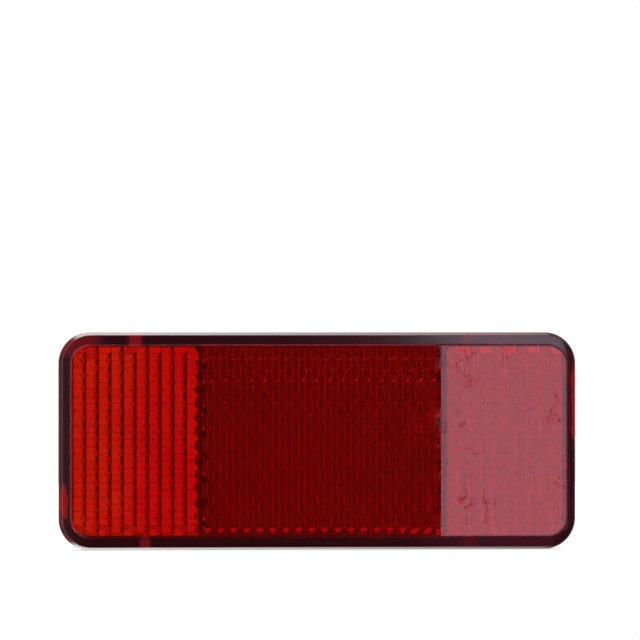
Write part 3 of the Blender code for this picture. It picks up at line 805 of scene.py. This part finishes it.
def black_material():
    """Moulded black ABS with flow marks, darker on the cross, with rubbed streaks along the rim."""
    made, tree, shader = new_material("black_moulded_abs")
    point, position = object_point(tree)
    flow = patchy(tree, stretched(tree, point, (0.7, 1.0, 1.6)), scale=45, detail=2, low=0.35, high=0.65)
    colour = mixed(tree, flow, BLACK, FLOW_BLACK)
    cross = math_node(tree, "GREATER_THAN", position["Y"], CROSS_Y)
    colour = mixed(tree, cross, colour, CROSS_BLACK)
    across = math_node(tree, "SUBTRACT", apart(tree, position["X"], 0.0), WIDTH / 2)
    up = math_node(tree, "SUBTRACT", apart(tree, position["Z"], BODY_Z), HEIGHT / 2)
    at_side = mapped(tree, math_node(tree, "SUBTRACT", across, up), -RUB_MITRE, RUB_MITRE)
    on_rim = mapped(tree, math_node(tree, "MAXIMUM", across, up), -RIM_RUB - RUB_FADE, -RIM_RUB)
    level, upright = (
        noise_value(tree, stretched(tree, point, stretch), scale=900, detail=4, roughness=0.7)
        for stretch in (ALONG_X, ALONG_Z)
    )
    streaks = add(tree, "ShaderNodeMix", {0: at_side, 2: level, 3: upright}, data_type="FLOAT").outputs[0]
    rubbed = math_node(tree, "MULTIPLY", mapped(tree, streaks, 0.5, 0.74), on_rim)
    tree.links.new(mixed(tree, rubbed, colour, RUBBED_BLACK), shader.inputs["Base Color"])
    rough = mapped(tree, flow, 0.0, 1.0, 0.32, 0.42)
    rough = math_node(tree, "MAXIMUM", rough, mapped(tree, rubbed, 0.0, 1.0, 0.3, 0.55))
    tree.links.new(rough, shader.inputs["Roughness"])
    grain = noise_value(tree, point, scale=2600, detail=2)
    bumped(tree, shader, math_node(tree, "ADD", grain, rubbed), FINE_BUMP)
    return made


def plated_material(name, light, dark, rough, end=None):
    """Zinc plate with uneven patches. The colour called end covers the flat end of the bolt."""
    made, tree, shader = new_material(name)
    point, position = object_point(tree)
    shader.inputs["Metallic"].default_value = 1.0
    patches = noise_value(tree, point, scale=700, detail=4)
    colour = mixed(tree, mapped(tree, patches, 0.35, 0.65), dark, light)
    if end:
        on_end = math_node(tree, "GREATER_THAN", position["Y"], BOLT_HIGH.y - END_FILM)
        film = mixed(tree, patchy(tree, point, scale=1500, detail=3, low=0.4, high=0.6), light, end)
        colour = mixed(tree, on_end, colour, film)
    tree.links.new(colour, shader.inputs["Base Color"])
    smoothest = rough * (1 - ROUGH_SPREAD)
    roughest = rough * (1 + ROUGH_SPREAD)
    tree.links.new(mapped(tree, patches, 0.3, 0.7, smoothest, roughest), shader.inputs["Roughness"])
    bumped(tree, shader, noise_value(tree, point, scale=2500), PLATE_BUMP)
    return made


def smooth_frame_node(thing, angle):
    """Merges the node's split corners and shades it smooth, with edges over the angle kept sharp."""
    group = bpy.data.node_groups.new("smooth_by_angle", "GeometryNodeTree")
    for direction in ("INPUT", "OUTPUT"):
        group.interface.new_socket("Geometry", in_out=direction, socket_type="NodeSocketGeometry")
    start = add(group, "NodeGroupInput").outputs[0]
    merged = add(
        group, "GeometryNodeMergeByDistance", {"Geometry": start, "Distance": MERGE_CORNERS}
    ).outputs[0]
    edge = add(group, "GeometryNodeInputMeshEdgeAngle").outputs["Unsigned Angle"]
    sharp = add(
        group, "FunctionNodeCompare", {0: edge, 1: math.radians(angle)}, operation="LESS_THAN"
    ).outputs[0]
    faces = add(
        group, "GeometryNodeSetShadeSmooth", {"Geometry": merged, "Shade Smooth": True}, domain="FACE"
    ).outputs[0]
    edges = add(
        group, "GeometryNodeSetShadeSmooth", {"Geometry": faces, "Shade Smooth": sharp}, domain="EDGE"
    ).outputs[0]
    add(group, "NodeGroupOutput", {0: edges})
    modifier = thing.modifiers.new("smooth_by_angle", "NODES")
    modifier.node_group = group


def set_material(thing, made):
    thing.data.materials.clear()
    thing.data.materials.append(made)


def make_floor():
    """A white table top under the reflector. It reaches only a little way in front of the lens."""
    mesh = bmesh.new()
    corners = [
        (-FLOOR_SIDE, FLOOR_FRONT), (FLOOR_SIDE, FLOOR_FRONT), (FLOOR_SIDE, FLOOR_BACK),
        (-FLOOR_SIDE, FLOOR_BACK),
    ]
    mesh.faces.new([mesh.verts.new((px, py, CAD_LOW.z)) for px, py in corners])
    floor = new_object("floor", mesh)
    floor.visible_glossy = False
    made, tree, shader = new_material("white_table")
    shader.inputs["Base Color"].default_value = TABLE_WHITE
    shader.inputs["Roughness"].default_value = FLOOR_ROUGH
    shader.inputs["Specular IOR Level"].default_value = FLOOR_GLOSS
    shader.inputs["Emission Color"].default_value = WHITE
    ray = add(tree, "ShaderNodeLightPath").outputs
    kinds = [ray[kind] for kind in ("Is Camera Ray", "Is Glossy Ray", "Is Transmission Ray")]
    glow = math_node(tree, "MULTIPLY", chain(tree, "MAXIMUM", *kinds), FLOOR_GLOW)
    tree.links.new(glow, shader.inputs["Emission Strength"])
    floor.data.materials.append(made)


def make_world():
    """A room round the object: white behind and above it, darker round the camera."""
    world = bpy.data.worlds.new("studio")
    world.use_nodes = True
    bpy.context.scene.world = world
    tree = world.node_tree
    direction = add(tree, "ShaderNodeTexCoord").outputs["Generated"]
    parts = add(tree, "ShaderNodeSeparateXYZ", {0: direction}).outputs
    forward = math_node(tree, "MULTIPLY", parts["Y"], -1.0)
    azimuth = math_node(tree, "ARCTAN2", parts["X"], forward)
    around = ramp(tree, mapped(tree, azimuth, -math.pi, math.pi), ROOM, -180, 180)
    colour = mixed(tree, ramp(tree, parts["Z"], CEILING, 0.0, 1.0), around, CEILING_WHITE)
    seen = add(tree, "ShaderNodeLightPath").outputs["Is Camera Ray"]
    tree.links.new(mixed(tree, seen, colour, WHITE), tree.nodes["Background"].inputs["Color"])


def add_light(name, size, radiance, place, turn, colour):
    """A rectangular light, which the camera doesn't see."""
    light = bpy.data.lights.new(name, "AREA")
    light.shape = "RECTANGLE"
    light.size, light.size_y = size
    light.energy = radiance * math.pi * light.size * light.size_y
    light.color = colour
    lamp = bpy.data.objects.new(name, light)
    lamp.location = place
    lamp.rotation_euler = turn
    lamp.visible_camera = False
    bpy.context.scene.collection.objects.link(lamp)


def add_softboxes():
    """The lights in front, each upright and facing the lens."""
    for name, azimuth_from, azimuth_to, below, top, radiance, colour in SOFTBOXES:
        middle = (math.radians(azimuth_from) + math.radians(azimuth_to)) / 2
        half = (math.radians(azimuth_to) - math.radians(azimuth_from)) / 2
        low = CAD_LOW.z - below
        place = (
            SOFTBOX_DISTANCE * math.sin(middle),
            WINDOW_Y - SOFTBOX_DISTANCE * math.cos(middle),
            (low + top) / 2,
        )
        size = (2 * SOFTBOX_DISTANCE * math.tan(half), top - low)
        add_light(name, size, radiance, place, (math.radians(90), 0, middle), colour)


def add_back_light():
    """A soft light above and behind, which shows the form of the back."""
    place = Vector((0, 1, math.tan(BACK_ELEVATION))) * BACK_DISTANCE
    turn = (BACK_ELEVATION - math.radians(90), 0, 0)
    add_light("back_light", BACK_SIZE, BACK_RADIANCE, place, turn, WHITE[:3])


def make_camera():
    camera = bpy.data.cameras.new("camera")
    camera.sensor_width = SENSOR
    camera.lens = PIXELS_PER_METRE * CAMERA_DISTANCE * SENSOR / IMAGE_SIZE
    camera.clip_end = CLIP_END
    thing = bpy.data.objects.new("camera", camera)
    right = Vector((math.cos(CAMERA_AZIMUTH), math.sin(CAMERA_AZIMUTH), 0))
    away = Vector((-math.sin(CAMERA_AZIMUTH), math.cos(CAMERA_AZIMUTH), 0))
    middle = Vector((0, WINDOW_Y, BODY_Z))
    sideways = (IMAGE_SIZE / 2 - BODY_PIXEL[0]) / PIXELS_PER_METRE
    upwards = (BODY_PIXEL[1] - IMAGE_SIZE / 2) / PIXELS_PER_METRE
    thing.location = middle - away * CAMERA_DISTANCE + right * sideways + Vector((0, 0, upwards))
    thing.rotation_euler = (math.radians(90), 0, CAMERA_AZIMUTH)
    bpy.context.scene.collection.objects.link(thing)
    bpy.context.scene.camera = thing


def main():
    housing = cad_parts["housing"]
    smooth_frame_node(housing, HOUSING_SHARP)
    set_material(housing, black_material())
    lens = make_lens()
    set_material(lens, red_lens_material())
    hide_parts("lens")
    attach(lens, "reflector")
    bolt = make_bolt()
    yellow = plated_material("yellow_zinc", YELLOW_ZINC, YELLOW_ZINC_SHADE, YELLOW_ROUGH, YELLOW_ZINC_END)
    set_material(bolt, yellow)
    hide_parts("bolt")
    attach(bolt, "reflector")
    nut = make_nut()
    set_material(nut, plated_material("white_zinc", WHITE_ZINC, WHITE_ZINC_SHADE, WHITE_ROUGH))
    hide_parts("nut")
    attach(nut, "nut")
    make_floor()
    make_world()
    add_softboxes()
    add_back_light()
    make_camera()
    bpy.context.scene.view_settings.view_transform = "Standard"


main()
